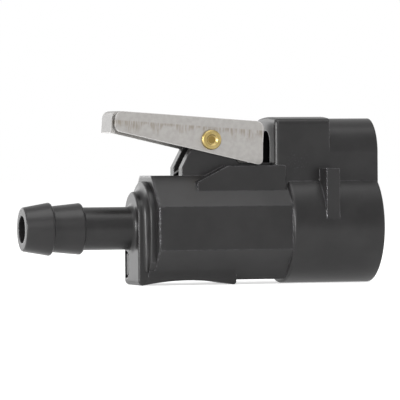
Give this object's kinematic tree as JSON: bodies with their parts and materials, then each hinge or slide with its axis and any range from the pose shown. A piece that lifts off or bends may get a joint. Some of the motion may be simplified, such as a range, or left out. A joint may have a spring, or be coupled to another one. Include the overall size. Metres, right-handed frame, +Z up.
{
  "type": "plastic quick disconnect coupling",
  "caption": "Moulded hose-side fuel line coupling with a hose barb, a sprung steel latch lever on a brass rivet and a spring-loaded valve in its socket.",
  "frame": {"origin": "centre of the fuel socket at the mouth's face", "axes": "+X along the fuel axis out of the socket's mouth, +Z up to the latch lever, +Y completes the frame"},
  "size_m": [0.0761, 0.024, 0.0367],
  "materials": {
    "moulded_plastic": "fine grained black moulding, glossier on its rounded edges",
    "lever_steel": "brushed stainless sheet with light water marks",
    "rivet_brass": "satin brass",
    "spring_steel": "bright drawn wire",
    "retainer_plastic": "smooth black moulding",
    "seal_rubber": "smooth rubber",
    "poppet_brass": "turned brass"
  },
  "bodies": {
    "coupling": {"body": "moulded_plastic", "seal_retainer": "retainer_plastic", "prong_seal": "seal_rubber", "latch_spring": "spring_steel", "valve_spring": "spring_steel"},
    "lever": {"latch_lever": "lever_steel", "pivot_rivet": "rivet_brass"},
    "poppet": {"valve_poppet": "poppet_brass"}
  },
  "joints": [
    {"name": "latch_pivot", "type": "hinge", "parent": "coupling", "child": "lever", "pos_m": [-0.0364, 0, 0.0185], "axis": [0, -1, 0], "range_deg": [0, 12], "stiffness_Nm_per_rad": 0.08, "springref_deg": -28.65, "deforming": ["latch_spring"]},
    {"name": "valve_travel", "type": "slide", "parent": "coupling", "child": "poppet", "axis": [-1, 0, 0], "range_m": [0, 0.0035], "stiffness_N_per_m": 600, "springref_m": -0.004, "deforming": ["valve_spring"]}
  ]
}
